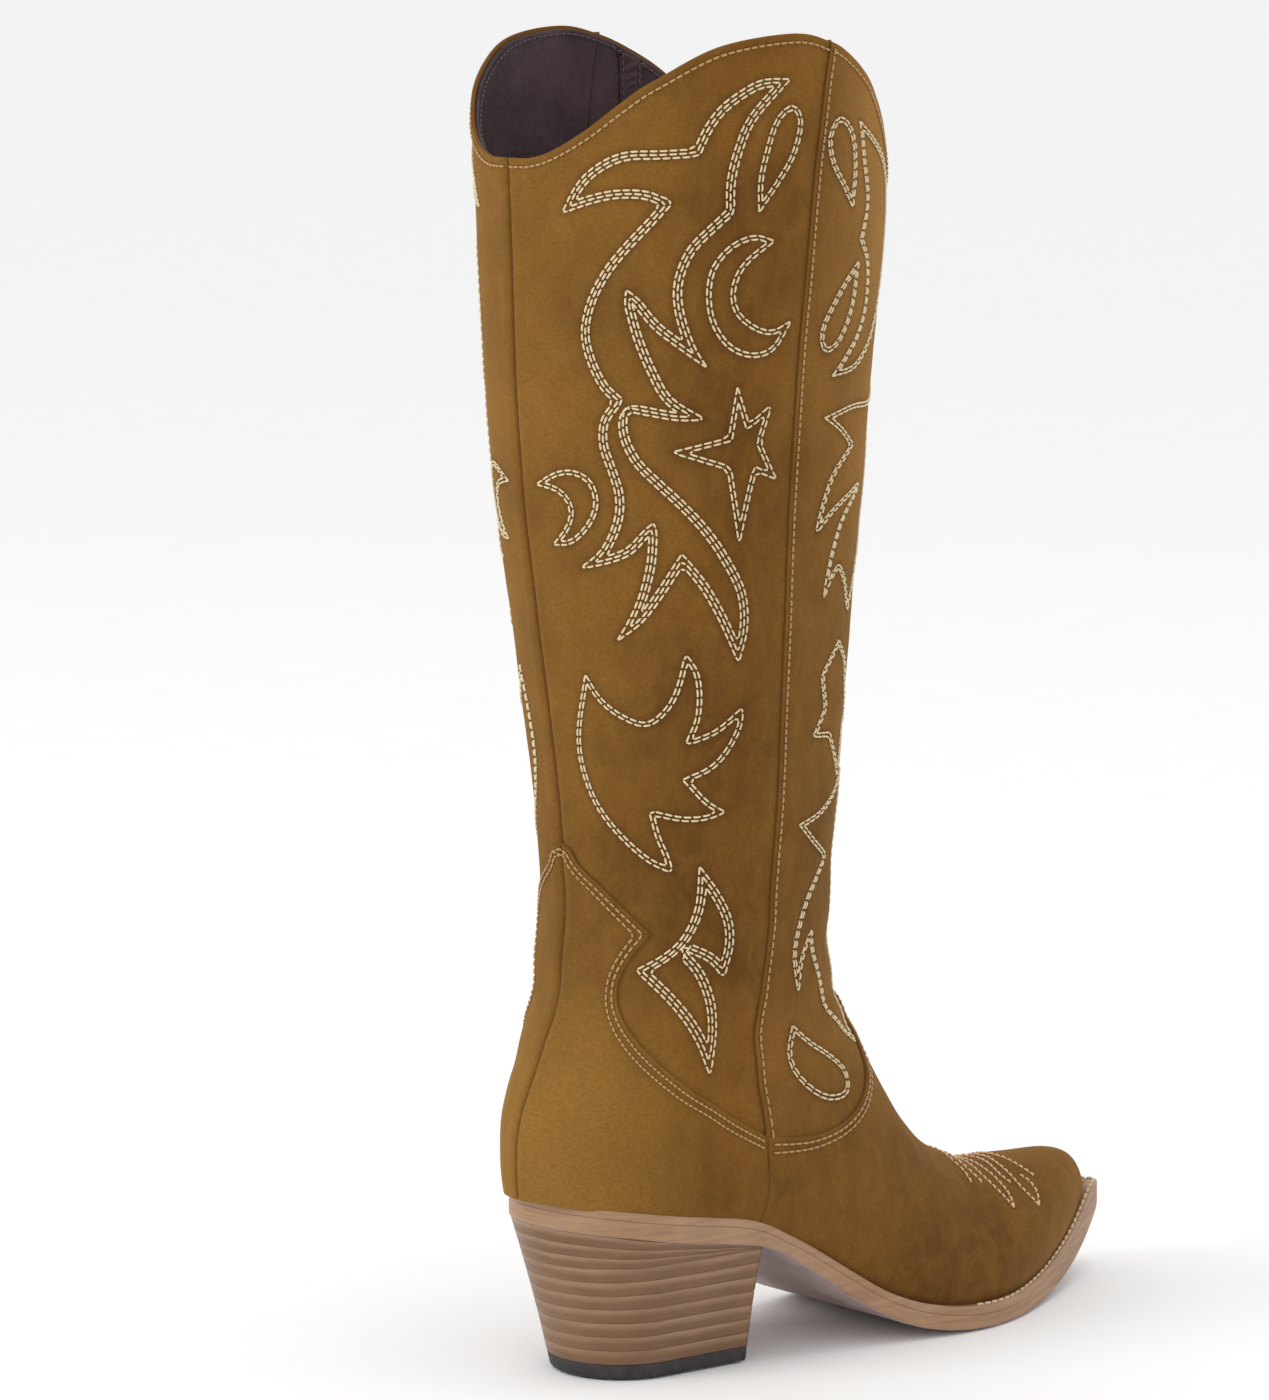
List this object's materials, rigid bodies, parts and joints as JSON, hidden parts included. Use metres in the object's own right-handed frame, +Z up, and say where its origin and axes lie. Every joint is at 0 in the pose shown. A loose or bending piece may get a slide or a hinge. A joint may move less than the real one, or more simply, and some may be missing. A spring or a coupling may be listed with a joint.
{
  "type": "cowboy boot",
  "caption": "Knee-high pointed western boot, right foot: stacked leather heel, welted sole, embroidered suede shaft with a scalloped rim, leather lining and a short inside zip.",
  "frame": {"origin": "middle of the flat rest face of the heel, on the ground", "axes": "+Z up, -Y forward to the toe, +X medial (towards the other boot of the pair)"},
  "size_m": [0.1168, 0.2673, 0.4292],
  "materials": {
    "suede": "napped suede",
    "lining_leather": "smooth lining leather",
    "fibre_board": "plain fibre board",
    "zip_tape": "woven tape",
    "stacked_leather": "burnished stacked leather",
    "sole_leather": "waxed sole leather",
    "rubber_tip": "matte black rubber",
    "cork": "granulated cork",
    "steel": "plain steel",
    "zip_metal": "antique brass",
    "polished_metal": "polished"
  },
  "bodies": {
    "boot": {"back_panel_lateral": "suede", "back_panel_medial": "suede", "bottom_filler": "cork", "front_shaft_panel": "suede", "heel_counter": "fibre_board", "heel_foxing": "suede", "heel_lift_01": "stacked_leather", "heel_lift_02": "stacked_leather", "heel_lift_03": "stacked_leather", "heel_lift_04": "stacked_leather", "heel_lift_05": "stacked_leather", "heel_lift_06": "stacked_leather", "heel_lift_07": "stacked_leather", "heel_lift_08": "stacked_leather", "heel_lift_09": "stacked_leather", "heel_lift_10": "stacked_leather", "heel_lining": "lining_leather", "heel_nails": "steel", "heel_screw": "steel", "insole_board": "fibre_board", "lining_back_lateral": "lining_leather", "lining_back_medial": "lining_leather", "lining_front": "lining_leather", "lining_seam_strip": "lining_leather", "outsole": "sole_leather", "shank": "steel", "sock_liner": "lining_leather", "toe_puff": "fibre_board", "top_lift": "rubber_tip", "top_lift_nails": "steel", "vamp": "suede", "vamp_lining": "lining_leather", "welt": "sole_leather", "zip_bottom_stop": "zip_metal", "zip_guard": "lining_leather", "zip_tape_back": "zip_tape", "zip_tape_front": "zip_tape", "zip_teeth_back": "zip_metal", "zip_teeth_front": "zip_metal", "zip_top_stops": "zip_metal"},
    "slider": {"zip_slider": "polished_metal"},
    "tab": {"pull_tab": "polished_metal"}
  },
  "joints": [
    {"name": "zip_slide", "type": "slide", "parent": "boot", "child": "slider", "axis": [-0.0598, 0, -0.9982], "range_m": [0, 0.14]},
    {"name": "pull_tab_swing", "type": "hinge", "parent": "slider", "child": "tab", "pos_m": [0.04883, -0.025, 0.24001], "axis": [0, -1, 0], "range_deg": [0, 165]}
  ]
}
